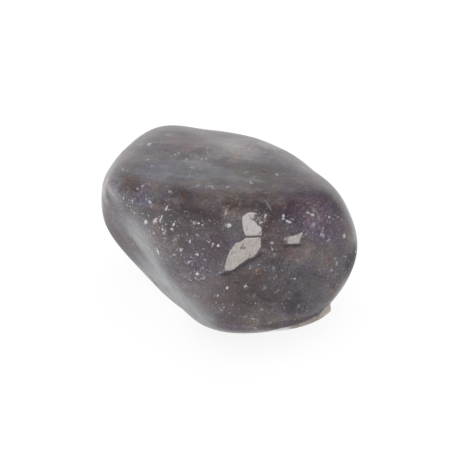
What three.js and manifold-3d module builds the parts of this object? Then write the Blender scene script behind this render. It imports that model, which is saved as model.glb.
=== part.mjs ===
// A tumbled lepidolite stone: one rounded, slightly lopsided pebble of mica-rich rock, worn smooth
// in a tumbling barrel. Its broken faces are still readable as gently crowned flats with soft
// edges between them. A thin pale plate of mica stands out as a ledge low on the near end, and a
// small worn flat lies underneath, where the stone rests.
//
// Millimetres. +X runs along the stone towards its near end, +Y across it and +Z up.
// The origin is on the resting flat, under the middle of the stone.

import * as THREE from "three";
import { mergeVertices } from "three/addons/utils/BufferGeometryUtils.js";
import Module from "manifold-3d";

// Driving dimensions: the plain egg that the stone is measured against.
const LENGTH = 36;
const WIDTH = 25;
const HEIGHT = 21;
const HALF = new THREE.Vector3(LENGTH / 2, WIDTH / 2, HEIGHT / 2);

// The stone's heart, from which every face is measured: its height above the resting flat, and
// how far it lies from the middle of the stone's box.
const HEART = new THREE.Vector3(0.7, -0.08, 9.6);

// How sharply faces meet: a higher number leaves a crisper edge.
const WORN_EDGE = 11;
const FRESH_EDGE = 14;

// The meshes: an icosphere's detail, for 20 * (detail + 1) ** 2 triangles before anything is cut.
const STONE_DETAIL = 20;
const PLATE_DETAIL = 13;

// The broken faces. Bearing turns from +X towards +Y and tilt rises towards +Z, in degrees; depth
// is the face's distance from the heart as a share of the plain egg's reach in that direction.
const WORN_FACES = [
  { name: "crown", bearing: 100, tilt: 86, depth: 1.014 },
  { name: "near end", bearing: -5, tilt: 10, depth: 1.007 },
  { name: "near end, right side", bearing: 40, tilt: -3, depth: 1.143 },
  { name: "near end, low", bearing: 25, tilt: -22, depth: 1.051 },
  { name: "near shoulder", bearing: 52, tilt: 25, depth: 1.081 },
  { name: "back side, near half", bearing: 82, tilt: 38, depth: 1.108 },
  { name: "back side, far half", bearing: 115, tilt: 45, depth: 1.151 },
  { name: "back side, low", bearing: 95, tilt: -30, depth: 1.0 },
  { name: "far end", bearing: 175, tilt: 10, depth: 1.065 },
  { name: "far end, top", bearing: -162, tilt: 32, depth: 1.164 },
  { name: "far end, shoulder", bearing: 175, tilt: 48, depth: 1.368 },
  { name: "far corner", bearing: -142, tilt: 6, depth: 1.126 },
  { name: "far corner, low", bearing: -125, tilt: -15, depth: 1.317 },
  { name: "belly", bearing: -40, tilt: -55, depth: 1.066 },
  { name: "belly, front", bearing: -80, tilt: -50, depth: 1.19 },
  { name: "belly, near end", bearing: 5, tilt: -45, depth: 1.047 },
  { name: "belly, far end", bearing: 180, tilt: -55, depth: 1.007 },
];
const FRESH_FACES = [
  { name: "front slope, far half", bearing: -68, tilt: 17, depth: 0.962 },
  { name: "front slope, middle", bearing: -53, tilt: 19, depth: 0.909 },
  { name: "front slope, near half", bearing: -36, tilt: 21, depth: 0.865 },
  { name: "flank", bearing: -103, tilt: -18, depth: 0.976 },
  { name: "flank, low", bearing: -111, tilt: -38, depth: 1.043 },
];

// Shallow hollows left by old chips: where the middle is, its spread in degrees seen from the
// heart, and its depth in millimetres.
const HOLLOWS = [
  { name: "over the back edge", bearing: 136, tilt: 50, spread: 9, depth: 0.55 },
  { name: "under the far shoulder", bearing: 150, tilt: 33, spread: 8, depth: 0.41 },
  { name: "over the near shoulder", bearing: 50, tilt: 36, spread: 10, depth: 0.33 },
  { name: "under the flank", bearing: -128, tilt: -24, spread: 9, depth: 0.06 },
  { name: "foot of the flank", bearing: -92, tilt: -41, spread: 9, depth: 0.46 },
  { name: "dish in the back side", bearing: 98, tilt: -2, spread: 17, depth: 0.68 },
  { name: "far end scoop", bearing: 168, tilt: -14, spread: 13, depth: 0.49 },
];

// The ledge: the rim of a thin plate, a flattened ball lying along the bedding, that stands out low
// on the near end. It ends at planes, each given by its normal and its distance from the heart.
const PLATE_MIDDLE = new THREE.Vector3(7.8, -0.75, 5);
const PLATE_RADIUS = 9.6;
const PLATE_HALF_THICKNESS = 2.4;
const PLATE_ENDS = [
  { name: "break", bearing: 74, tilt: 8, distance: 4.0 },
  { name: "worn corner", bearing: 40, tilt: 5, distance: 12.2 },
];

const degrees = (angle) => THREE.MathUtils.degToRad(angle);

// The unit vector of a bearing and a tilt.
function direction({ bearing, tilt }) {
  return new THREE.Vector3(
    Math.cos(degrees(tilt)) * Math.cos(degrees(bearing)),
    Math.cos(degrees(tilt)) * Math.sin(degrees(bearing)),
    Math.sin(degrees(tilt)),
  );
}

// How far the plain egg reaches in a direction: the distance of its tangent plane.
const eggReach = (normal) => normal.clone().multiply(HALF).length();

// A face as its outward normal and its distance from the heart.
const readied = (face) => {
  const normal = direction(face);
  return { normal, distance: face.depth * eggReach(normal) };
};
const wornFaces = WORN_FACES.map(readied);
const freshFaces = FRESH_FACES.map(readied);
const hollows = HOLLOWS.map((hollow) => ({ ...hollow, middle: direction(hollow) }));

// The inverse distance to a face along a ray from the heart, or 0 where the ray never meets it.
const closeness = (face, ray) => Math.max(0, face.normal.dot(ray)) / face.distance;

// A rounded minimum of distances, given as closenesses: the power mean that lets the nearest win.
const blend = (closenesses, edge) =>
  Math.pow(
    closenesses.reduce((sum, value) => sum + Math.pow(value, edge), 0),
    1 / edge,
  );

// The depth of the hollows along a ray: each is a bell curve around its middle.
function hollowDepth(ray) {
  return hollows.reduce((depth, { middle, spread, depth: deepest }) => {
    const angle = ray.angleTo(middle) / degrees(spread);
    return depth + deepest * Math.exp((-angle * angle) / 2);
  }, 0);
}

// The distance from the heart to the surface along a ray.
function surfaceDistance(ray) {
  const worn = blend(wornFaces.map((face) => closeness(face, ray)), WORN_EDGE);
  const fresh = freshFaces.map((face) => closeness(face, ray));
  return 1 / blend([worn, ...fresh], FRESH_EDGE) - hollowDepth(ray);
}

// Left with positions alone and its shared corners merged, so that it can become a solid.
function bare(geometry) {
  geometry.deleteAttribute("normal");
  geometry.deleteAttribute("uv");
  return mergeVertices(geometry);
}

// The stone before its flat is cut: an icosphere whose points are spread as on the plain egg and
// then moved along their rays to the surface.
function pebbleGeometry() {
  const geometry = bare(new THREE.IcosahedronGeometry(1, STONE_DETAIL));
  const position = geometry.getAttribute("position");
  const ray = new THREE.Vector3();
  for (let i = 0; i < position.count; i += 1) {
    ray.fromBufferAttribute(position, i).multiply(HALF).normalize();
    ray.multiplyScalar(surfaceDistance(ray)).add(HEART);
    position.setXYZ(i, ray.x, ray.y, ray.z);
  }
  return geometry;
}

const plateGeometry = () =>
  bare(
    new THREE.IcosahedronGeometry(1, PLATE_DETAIL)
      .scale(PLATE_RADIUS, PLATE_RADIUS, PLATE_HALF_THICKNESS)
      .translate(PLATE_MIDDLE.x, PLATE_MIDDLE.y, PLATE_MIDDLE.z),
  );

// A block with one face on the plane at a distance from a point, and all of it beyond the plane.
function beyondPlane(from, normal, distance) {
  const side = 3 * LENGTH;
  const middle = from.clone().addScaledVector(normal, distance + side / 2);
  return bare(
    new THREE.BoxGeometry(side, side, side)
      .applyQuaternion(new THREE.Quaternion().setFromUnitVectors(new THREE.Vector3(0, 0, 1), normal))
      .translate(middle.x, middle.y, middle.z),
  );
}

const wasm = await Module();
wasm.setup();

const asSolid = (geometry) =>
  new wasm.Manifold(
    new wasm.Mesh({
      numProp: 3,
      vertProperties: new Float32Array(geometry.getAttribute("position").array),
      triVerts: new Uint32Array(geometry.index.array),
    }),
  );

function asGeometry(solid) {
  const mesh = solid.getMesh();
  return new THREE.BufferGeometry()
    .setAttribute("position", new THREE.BufferAttribute(mesh.vertProperties, 3))
    .setIndex(new THREE.BufferAttribute(mesh.triVerts, 1));
}

const lepidolite = new THREE.MeshStandardMaterial({
  name: "polished_lepidolite",
  color: new THREE.Color("#5f565f"),
  roughness: 0.2,
  metalness: 0,
});

// The pebble joined with what the breaks leave of the plate, and cut flat at z = 0, where it rests.
function makeStone() {
  const pastEnds = PLATE_ENDS.map((end) => beyondPlane(HEART, direction(end), end.distance));
  const underground = beyondPlane(new THREE.Vector3(), new THREE.Vector3(0, 0, -1), 0);
  const plate = pastEnds.reduce((rest, past) => rest.subtract(asSolid(past)), asSolid(plateGeometry()));
  const solid = asSolid(pebbleGeometry()).add(plate).subtract(asSolid(underground));
  const mesh = new THREE.Mesh(asGeometry(solid), lepidolite);
  mesh.name = "lepidolite_stone";
  return mesh;
}

const part = new THREE.Group();
part.add(makeStone());

export default part;
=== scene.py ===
# %% [markdown]
# A tumbled lepidolite stone
# The object is one pebble of lepidolite, a grey-violet rock made of fine mica, tumbled in a barrel until
# its broken faces are smooth and glossy. This lesson dresses it in the order in which it can be checked:
# the camera, the form, the small relief, the finish and the light. The packed model fixes the size and
# the place of the stone, so it is loaded first and its box is printed.

import math

import bpy
import numpy as np
from mathutils import Matrix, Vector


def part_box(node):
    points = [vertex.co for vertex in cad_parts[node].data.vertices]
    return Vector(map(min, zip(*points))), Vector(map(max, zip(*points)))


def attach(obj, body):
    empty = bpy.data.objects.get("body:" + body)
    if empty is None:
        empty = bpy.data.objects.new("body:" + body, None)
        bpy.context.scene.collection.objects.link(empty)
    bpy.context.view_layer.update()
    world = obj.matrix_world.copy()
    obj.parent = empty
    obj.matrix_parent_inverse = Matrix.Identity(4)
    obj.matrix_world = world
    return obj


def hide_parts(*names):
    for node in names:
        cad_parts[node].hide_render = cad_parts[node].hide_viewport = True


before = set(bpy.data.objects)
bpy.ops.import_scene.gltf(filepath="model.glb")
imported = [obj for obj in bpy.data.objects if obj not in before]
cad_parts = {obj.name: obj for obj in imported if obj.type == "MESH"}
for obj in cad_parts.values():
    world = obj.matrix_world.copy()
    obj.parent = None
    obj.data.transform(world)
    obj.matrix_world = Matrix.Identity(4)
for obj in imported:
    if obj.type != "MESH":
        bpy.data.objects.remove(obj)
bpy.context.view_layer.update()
SOLID = "lepidolite_stone"
METRES_PER_MM = 0.001
solid_low, solid_high = (np.array(corner) / METRES_PER_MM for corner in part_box(SOLID))
print("the solid's box in mm:", solid_low.round(2), "to", solid_high.round(2))

# %% [markdown]
# The camera
# The photo looks down on the stone from in front of one long side. The camera could be placed by eye, but
# the small flakes and clouds of the rock are easiest to place by where they show in the photo, so the
# camera is worked out as numbers first. A point of the stone can then be turned into a pixel and back.

# %% Where the camera stands
PICTURE = 460
LENS = 100.0
SENSOR = 36.0
CAMERA_ROUND = math.radians(40.0)
CAMERA_UP = math.radians(36.0)
PIXELS_PER_MM = 7.6
HEART = np.array([0.7, -0.08, 9.6])
HEART_PIXEL = np.array([231.0, 230.0])

focal_pixels = PICTURE * LENS / SENSOR
camera_distance = focal_pixels / PIXELS_PER_MM
to_right = np.array([math.cos(CAMERA_ROUND), math.sin(CAMERA_ROUND), 0.0])
to_camera = np.array(
    [
        math.sin(CAMERA_ROUND) * math.cos(CAMERA_UP),
        -math.cos(CAMERA_ROUND) * math.cos(CAMERA_UP),
        math.sin(CAMERA_UP),
    ]
)
to_top = np.cross(to_camera, to_right)
off_middle = (HEART_PIXEL - PICTURE / 2) / PIXELS_PER_MM
EYE = HEART + camera_distance * to_camera - off_middle[0] * to_right + off_middle[1] * to_top
print("the camera is", round(camera_distance, 1), "mm from the stone's heart, at", EYE.round(1))


# %% From the stone to the photo and back
def picture_place(points):
    """The pixel where each point (mm) shows: its sideways and upward distance from the line of sight, each
    divided by its depth before the camera and multiplied by the focal length in pixels."""
    seen = points - EYE
    depth = -(seen @ to_camera)
    return PICTURE / 2 + focal_pixels * np.stack([seen @ to_right, -(seen @ to_top)], -1) / depth[..., None]


def sight_lines(pixels):
    """The unit direction from the camera through each pixel."""
    across, down = ((np.asarray(pixels, float) - PICTURE / 2) / focal_pixels).T
    lines = across[:, None] * to_right - down[:, None] * to_top - to_camera
    return lines / np.linalg.norm(lines, axis=1, keepdims=True)


# %% Make the camera
lens = bpy.data.cameras.new("photo_camera")
lens.lens = LENS
lens.sensor_width = SENSOR
camera = bpy.data.objects.new("photo_camera", lens)
bpy.context.scene.collection.objects.link(camera)
turned = np.eye(4)
turned[:3, :3] = np.stack([to_right, to_top, to_camera], 1)
turned[:3, 3] = EYE * METRES_PER_MM
camera.matrix_world = turned.T.tolist()
bpy.context.scene.camera = camera
print("the heart shows at pixel", picture_place(HEART[None]).round(1)[0])

# %% [markdown]
# The form of the pebble
# A tumbled stone is a broken lump whose flats are worn and whose edges are rounded. It could be sculpted,
# but a formula is shorter and gives a perfectly smooth polish: each flat is a plane at some distance from
# the stone's heart, and along any ray the nearest plane wins. A power mean in place of the plain minimum
# rounds the edges where two flats meet, as the barrel does. Faces that broke late are rounded less.

# %% The stone's faces
# Each face: bearing from +X towards +Y and tilt towards +Z in degrees, then its distance from the heart as
# a share of a plain egg's reach in that direction.
EGG = np.array([36.0, 25.0, 21.0]) / 2
WORN_EDGE = 11
FRESH_EDGE = 14
WORN_FACES = {
    "crown": (100, 86, 1.014),
    "near end": (-5, 10, 1.007),
    "near end, right side": (40, -3, 1.143),
    "near end, low": (25, -22, 1.051),
    "near shoulder": (52, 25, 1.081),
    "back side, near half": (82, 38, 1.108),
    "back side, far half": (115, 45, 1.151),
    "back side, low": (95, -30, 1.0),
    "far end": (175, 10, 1.065),
    "far end, top": (-162, 32, 1.164),
    "far end, shoulder": (175, 48, 1.368),
    "far corner": (-142, 6, 1.126),
    "far corner, low": (-125, -15, 1.317),
    "belly": (-40, -55, 1.066),
    "belly, front": (-80, -50, 1.19),
    "belly, near end": (5, -45, 1.047),
    "belly, far end": (180, -55, 1.007),
}
FRESH_FACES = {
    "front slope, far half": (-68, 17, 0.962),
    "front slope, middle": (-53, 19, 0.909),
    "front slope, near half": (-36, 21, 0.865),
    "flank": (-103, -18, 0.976),
    "flank, low": (-111, -38, 1.043),
}
# Each hollow: bearing and tilt of its middle, its spread in degrees and its depth in mm.
HOLLOWS = {
    "over the back edge": (136, 50, 9, 0.55),
    "under the far shoulder": (150, 33, 8, 0.41),
    "over the near shoulder": (50, 36, 10, 0.33),
    "under the flank": (-128, -24, 9, 0.06),
    "foot of the flank": (-92, -41, 9, 0.46),
    "dish in the back side": (98, -2, 17, 0.68),
    "far end scoop": (168, -14, 13, 0.49),
}


def direction(bearing, tilt):
    """The unit vector of a bearing and a tilt in degrees, also for arrays of them."""
    bearing, tilt = np.radians(bearing), np.radians(tilt)
    level = np.cos(tilt)
    return np.stack([level * np.cos(bearing), level * np.sin(bearing), np.sin(tilt)], -1)


print(len(WORN_FACES), "worn faces,", len(FRESH_FACES), "fresh ones and", len(HOLLOWS), "hollows")


# %% How far the pebble reaches
def closenesses(faces, rays):
    """For each ray and face, one over the distance at which the ray meets the face's plane, or 0."""
    bearing, tilt, depth = np.array(list(faces.values())).T
    normals = direction(bearing, tilt)
    distances = depth * np.linalg.norm(normals * EGG, axis=1)
    return np.maximum(rays @ normals.T, 0) / distances


def power_mean(values, edge):
    """A rounded maximum over the last axis: the edge-th root of the sum of the edge-th powers."""
    return (values**edge).sum(-1) ** (1 / edge)


def pebble_reach(rays):
    """The distance from the heart to the surface: one over the power mean of the closenesses of all the
    faces, less a bell curve around the middle of each hollow."""
    worn = power_mean(closenesses(WORN_FACES, rays), WORN_EDGE)
    fresh = closenesses(FRESH_FACES, rays)
    reach = 1 / power_mean(np.concatenate([worn[:, None], fresh], 1), FRESH_EDGE)
    bearing, tilt, spread, depth = np.array(list(HOLLOWS.values())).T
    angles = np.degrees(np.arccos(np.clip(rays @ direction(bearing, tilt).T, -1, 1)))
    return reach - (depth * np.exp(-((angles / spread) ** 2) / 2)).sum(-1)


print("straight up the pebble reaches", pebble_reach(direction([0], [90])).round(2)[0], "mm")

# %% [markdown]
# The ledge
# Low on the near end the rim of a thin plate of mica stands out of the pebble, where the softer rock above
# it has worn back. The plate is a flattened ball, and the stone reaches as far as the farther of the two
# surfaces. The plate ends at a break, which leaves the small notch at the right of the stone, and its sharp
# corner there is worn off; both are planes.

# %% How far the plate reaches
PLATE_MIDDLE = np.array([7.8, -0.75, 5.0])
PLATE_HALVES = np.array([9.6, 9.6, 2.4])
# Each end: the bearing and tilt of its normal and its distance from the heart in mm.
PLATE_ENDS = {"break": (74, 8, 4.0), "worn corner": (40, 5, 12.2)}
NOWHERE = 1e-6
LOW_RAY = direction([-10], [-25])


def plate_reach(rays, pebble):
    """The distance at which a ray from the heart leaves the flattened ball: the larger root of the ball's
    quadratic. It is kept short of the ends, and is nothing where the ray enters beyond the pebble."""
    start = (HEART - PLATE_MIDDLE) / PLATE_HALVES
    step = rays / PLATE_HALVES
    a = (step**2).sum(-1)
    b = (step * start).sum(-1)
    square = b**2 - a * ((start**2).sum() - 1)
    root = np.sqrt(np.maximum(square, 0))
    entry = (-b - root) / a
    leaving = (-b + root) / a
    bearing, tilt, distance = np.array(list(PLATE_ENDS.values())).T
    stops = distance / np.maximum(rays @ direction(bearing, tilt).T, NOWHERE)
    reach = np.minimum(leaving, stops.min(-1))
    return np.where((square > 0) & (entry < pebble) & (leaving > 0), reach, NOWHERE)


pebble_there = pebble_reach(LOW_RAY)
plate_there = plate_reach(LOW_RAY, pebble_there)
print("low on the near end the plate stands out by", (plate_there - pebble_there).round(2)[0], "mm")

# %% How far the whole stone reaches
RESTING_EDGE = 60
# The search along a line of sight starts this many half lengths before the heart and goes in these steps.
SEARCH = 1.2
SEARCH_STEP = 0.25
HALVINGS = 20
PROBE = (250, 238)


def stone_reach(rays):
    """The farther of pebble and plate, cut by the level where the stone rests. The cut is a power mean
    too, so its rim is a little rounded."""
    pebble = pebble_reach(rays)
    joined = np.maximum(pebble, plate_reach(rays, pebble))
    resting = np.maximum(-rays[:, 2], 0) / HEART[2]
    return 1 / power_mean(np.stack([1 / joined, resting], 1), RESTING_EDGE)


def on_stone(pixels):
    """The point of the surface (mm) that shows at each pixel. Along each line of sight the first point
    inside the stone is found by stepping, and then by halving the last step."""
    lines = sight_lines(pixels)

    def outside(far):
        seen_from_heart = EYE + far[:, None] * lines - HEART
        length = np.linalg.norm(seen_from_heart, axis=1)
        return length > stone_reach(seen_from_heart / length[:, None])

    near = np.full(len(lines), camera_distance - EGG[0] * SEARCH)
    for _ in range(int(2 * SEARCH * EGG[0] / SEARCH_STEP)):
        near = np.where(outside(near), near + SEARCH_STEP, near)
    low, high = near - SEARCH_STEP, near
    for _ in range(HALVINGS):
        middle = (low + high) / 2
        still_outside = outside(middle)
        low, high = np.where(still_outside, middle, low), np.where(still_outside, high, middle)
    return EYE + high[:, None] * lines


print("the pixel", PROBE, "lies at", on_stone([PROBE]).round(2)[0], "mm")

# %% [markdown]
# A fine grid
# The form needs one closed net of small, even quads, without the pinched poles of a globe. So the rays go
# through a grid on each side of a cube, and the rows that neighbouring sides share are merged. The rays are
# spread as on the plain egg, which keeps the quads about as long as they are wide.

# %% Rays through a cube's sides
CELLS_ALONG_SIDE = 127
MERGE_STEP = 1e-6


def cube_rays(cells):
    """Unit rays and quads. On each side two parameters run from -1 to 1, and the tangent of 45 degrees
    times each gives the place on the side, so that the rays turn evenly."""
    turn = np.tan(np.linspace(-1, 1, cells + 1) * math.pi / 4)
    u, v = np.meshgrid(turn, turn, indexing="ij")
    index = np.arange(u.size).reshape(u.shape)
    quad = np.stack([index[:-1, :-1], index[1:, :-1], index[1:, 1:], index[:-1, 1:]], -1).reshape(-1, 4)
    rays, quads = [], []
    for axis in range(3):
        for side in (1.0, -1.0):
            rays.append(np.roll(np.stack([np.full_like(u, side), u, v], -1).reshape(-1, 3), axis, axis=1))
            quads.append((quad if side > 0 else quad[:, ::-1]) + len(quads) * u.size)
    rays = np.concatenate(rays)
    rays /= np.linalg.norm(rays, axis=1, keepdims=True)
    _, first, same = np.unique(np.round(rays / MERGE_STEP), axis=0, return_index=True, return_inverse=True)
    return rays[first], same.reshape(-1)[np.concatenate(quads)]


rays, quads = cube_rays(CELLS_ALONG_SIDE)
rays = rays * EGG
rays /= np.linalg.norm(rays, axis=1, keepdims=True)
reach = stone_reach(rays)
surface = HEART + rays * reach[:, None]
print(len(rays), "points and", 2 * len(quads), "triangles; the box is", np.ptp(surface, axis=0).round(2))

# %% [markdown]
# Places named by the photo
# The pale flakes, the cracks and the ledge are seen in the photo, so their outlines are named by pixels. A
# point of the stone is inside a flake if its pixel is inside the outline and it faces the camera. What is
# stored is not yes or no but the distance to the outline, because a distance blends evenly between two
# points of the net, and the finish can then draw a crisp edge across a quad.

# %% Which way the surface faces
FAR_AWAY = 6.0


def smooth_step(low, high, values):
    """0 at low, 1 at high, and an S-shaped curve between them."""
    share = np.clip((values - low) / (high - low), 0, 1)
    return share * share * (3 - 2 * share)


def outward_normals(points):
    """A quad's normal is the cross product of its diagonals, and a point's is the sum of its quads'."""
    corners = points[quads]
    crossed = np.cross(corners[:, 2] - corners[:, 0], corners[:, 3] - corners[:, 1])
    total = np.zeros_like(points)
    for corner in range(4):
        np.add.at(total, quads[:, corner], crossed)
    return total / np.linalg.norm(total, axis=1, keepdims=True)


normals = outward_normals(surface)
towards_eye = (EYE - surface) / np.linalg.norm(EYE - surface, axis=1, keepdims=True)
facing = (normals * towards_eye).sum(-1)
shown_at = picture_place(surface)
print(f"{(facing > 0).mean():.0%} of the points face the camera")


# %% Distances from lines and outlines
def distance_to_line(line):
    """The distance (mm) from each point of the stone to a chain of pixels laid on it: the least of the
    distances to the chain's straight pieces."""
    chain = on_stone(line)
    least = np.full(len(surface), FAR_AWAY)
    for start, end in zip(chain[:-1], chain[1:]):
        along = end - start
        share = np.clip((surface - start) @ along / (along @ along), 0, 1)
        least = np.minimum(least, np.linalg.norm(surface - start - share[:, None] * along, axis=1))
    return least


def depth_inside(outline):
    """How far (mm) each point's pixel lies inside a closed outline of pixels, less than 0 outside. A pixel
    is inside if a line from it to the right crosses the outline an odd number of times."""
    outline = np.asarray(outline, float)
    x, y = shown_at.T
    crossings = np.zeros(len(x), int)
    least = np.full(len(x), np.inf)
    for start, end in zip(outline, np.roll(outline, -1, axis=0)):
        along = end - start
        share = np.clip((shown_at - start) @ along / (along @ along), 0, 1)
        least = np.minimum(least, np.linalg.norm(shown_at - start - share[:, None] * along, axis=1))
        spans = (start[1] > y) != (end[1] > y)
        crossings += spans & (x < start[0] + (y - start[1]) * along[0] / (along[1] or 1))
    depth = np.where(crossings % 2 == 1, least, -least) / PIXELS_PER_MM
    return np.where(facing > 0, np.clip(depth, -FAR_AWAY, FAR_AWAY), -FAR_AWAY)


# %% The pale flakes and the dark lines beside them
PALE_FLAKES = {
    "upper": [
        (242.4, 216.6), (246.9, 213.1), (250.7, 212.1), (255.8, 212.8), (256.8, 216.6), (257.2, 220.5),
        (257.8, 225.0), (261.6, 227.4), (261.9, 235.4), (245.6, 235.9), (243.7, 231.3), (242.1, 222.3),
    ],
    "lower": [
        (245.6, 238.0), (260.9, 237.4), (260.9, 247.2), (255.8, 254.2), (252.6, 257.4), (248.8, 258.0),
        (239.2, 265.0), (233.5, 270.2), (225.2, 271.4), (224.6, 267.6), (227.1, 257.4), (230.3, 249.7),
        (236.0, 242.7), (240.5, 242.1),
    ],
    "right": [
        (288.3, 237.0), (297.9, 234.8), (304.0, 230.6), (300.5, 237.6), (299.8, 243.4), (287.7, 244.0),
    ],
}
# The dark lines are painted shadow under the flakes' lower edges, along the grooves of the relief.
DARK_LINES = {
    "under the lower flake": [
        (222.7, 274.0), (231.0, 271.8), (239.0, 267.2), (248.8, 260.8), (255.8, 258.0), (262.6, 251.6),
    ],
    "under the right flake": [(284.5, 245.6), (300.0, 245.0)],
}
THIN_LINES = {
    "gap between the flakes": [(244.5, 236.9), (262.5, 236.4)],
    "tear in the upper flake": [(249.6, 215.4), (251.6, 219.2), (254.8, 220.4)],
    "tear beside the upper flake": [(255.6, 218.0), (259.4, 219.0), (257.8, 223.6), (261.4, 225.6)],
}
# The dim lines are painted shade along the long scratch and the small step above the flakes.
DIM_LINES = {
    "behind the long scratch": [(262.0, 204.5), (267.5, 209.5), (271.5, 213.0), (271.0, 223.0)],
    "above the flakes": [(224.0, 203.0), (240.0, 207.0), (254.0, 206.5)],
}
TORN_PATCH = [
    (254.6, 213.0), (262.0, 212.4), (265.0, 218.0), (263.6, 226.6), (257.6, 226.0), (253.4, 219.6),
]
in_torn = depth_inside(TORN_PATCH)
in_flake = np.max([depth_inside(outline) for outline in PALE_FLAKES.values()], axis=0)
near_dark, near_thin, near_dim = (
    np.min([distance_to_line(line) for line in lines.values()], axis=0)
    for lines in (DARK_LINES, THIN_LINES, DIM_LINES)
)
print((in_flake > 0).sum(), "points lie in a pale flake")

# %% The ledge's pale rim and the long edge, frosted and with painted sheen
LEDGE_RIM = [
    (332.5, 302.0), (329.7, 304.3), (325.0, 307.6), (320.0, 313.4), (312.5, 317.8), (306.7, 321.0),
    (301.0, 323.3), (295.2, 325.2), (289.5, 326.8), (283.7, 327.9), (278.0, 329.0), (270.0, 330.8),
    (263.0, 333.0), (266.0, 340.0), (345.0, 340.0), (345.0, 300.0),
]
# The line of the long edge, along which the frost and the painted sheen run.
RUBBED_AND_SHINING_EDGE = [
    (105, 176), (109, 199), (118, 211), (129, 224), (139, 238), (147.5, 251), (155, 265), (164.5, 280),
    (177, 294), (191, 307), (204, 320),
]
pebble_alone = pebble_reach(rays)
past_pebble = np.clip(plate_reach(rays, pebble_alone) - pebble_alone, -FAR_AWAY, FAR_AWAY)
on_ledge = np.where(facing > 0, depth_inside(LEDGE_RIM), past_pebble)
near_edge = distance_to_line(RUBBED_AND_SHINING_EDGE)
flanks = {name: face for name, face in FRESH_FACES.items() if name.startswith("flank")}
others = {name: face for name, face in {**WORN_FACES, **FRESH_FACES}.items() if name not in flanks}
flank_wins = closenesses(flanks, rays).max(1) / closenesses(others, rays).max(1)
print((on_ledge > 0).sum(), "points lie on the ledge and", (near_edge < 1).sum(), "within 1 mm of the edge")

# %% [markdown]
# Small relief
# Polished rock isn't quite even. The barrel leaves faint waves that bend the reflections, soft mica tears
# out as pits, and a cleaved flake lies a little below the rock beside it. This relief is really in the
# mesh, as a small height added along each ray, so that it also shows in the exported shape.

# %% Faint waves
RANDOM_SEED = 7
random = np.random.default_rng(RANDOM_SEED)
WAVES = 40
WAVE_HEIGHT = 0.04
WAVE_LENGTHS = (3.0, 9.0)


def faint_waves(points):
    """The sum of many sine waves with random directions, lengths and phases."""
    ways = random.normal(size=(WAVES, 3))
    ways /= np.linalg.norm(ways, axis=1, keepdims=True)
    lengths = random.uniform(*WAVE_LENGTHS, WAVES)
    phases = random.uniform(0, 2 * math.pi, WAVES)
    heights = WAVE_HEIGHT * lengths / max(WAVE_LENGTHS)
    turns = points @ (ways * (2 * math.pi / lengths)[:, None]).T
    return np.sin(turns + phases) @ heights / math.sqrt(WAVES)


print(WAVES, "waves of", WAVE_LENGTHS[0], "to", WAVE_LENGTHS[1], "mm")

# %% Pits
PITS = 140
PIT_RADII = (0.1, 0.24)
PIT_DEPTH_SHARE = 0.2


def pits(points):
    """Small round dents: each is a bell curve of the distance from a randomly chosen point."""
    middles = points[random.integers(len(points), size=PITS)]
    radii = random.uniform(*PIT_RADII, PITS)
    depth = np.zeros(len(points))
    for middle, radius in zip(middles, radii):
        square = ((points - middle) ** 2).sum(-1) / radius**2
        depth += PIT_DEPTH_SHARE * radius * np.exp(-square)
    return depth


print(PITS, "pits of", PIT_RADII[0], "to", PIT_RADII[1], "mm")

# %% Flakes, grooves and chips
FLAKE_DEPTH = 0.07
FLAKE_STEP = 0.12
GROOVE_DEPTH = 0.12
GROOVE_WIDTH = 0.2
REST_FADE = 1.0
# Each chip: its line of pixels, its width and its depth in mm.
CHIPS = {
    "crack over the flank": ([(152.0, 278.5), (154.5, 281.5), (156.5, 285.0)], 0.22, 0.3),
    "pit in the far end": ([(107.5, 203.5), (108.5, 208.0)], 0.16, 0.18),
}


def bell(distance, width):
    """A bell curve that falls to about a third at the given width."""
    return np.exp(-((distance / width) ** 2))


rust_lines = np.zeros(len(surface))
chips = np.zeros(len(surface))
for line, width, depth in CHIPS.values():
    shape = bell(distance_to_line(line), width)
    chips += depth * shape
    rust_lines = np.maximum(rust_lines, shape)
relief = (
    faint_waves(surface)
    - pits(surface)
    - FLAKE_DEPTH * smooth_step(0, FLAKE_STEP, in_flake)
    - GROOVE_DEPTH * bell(near_dark, GROOVE_WIDTH)
    - chips
)
above_rest = smooth_step(0, REST_FADE, surface[:, 2])
points = surface + rays * (relief * above_rest)[:, None]
print("the relief runs from", relief.min().round(3), "to", relief.max().round(3), "mm")

# %% [markdown]
# The large glints
# Single mica plates that lie just at the surface throw the light back as white, pinkish or bluish sparks.
# These glints are painted highlights: bright spots mixed into the colour.
# Those that the photo shows large are placed one by one. Each is a small ellipse, finer than the net, so it
# can't be stored as yes or no. What is stored at a point is its place counted along the ellipse's own axes,
# in half lengths: inside the ellipse that place is less than 1 from the middle. Such a place is a
# straight-line function of the point, so it blends exactly across a quad. A point can store one glint only,
# so glints that stand close together go in different layers.


# %% The glints that the photo shows
def linear(red, green, blue):
    """A colour given as it is read off a screen, 0 to 255, as the linear values that a material wants."""
    shares = np.array([red, green, blue]) / 255
    values = np.where(shares <= 0.04045, shares / 12.92, ((shares + 0.055) / 1.055) ** 2.4)
    return (*values.tolist(), 1.0)


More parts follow.
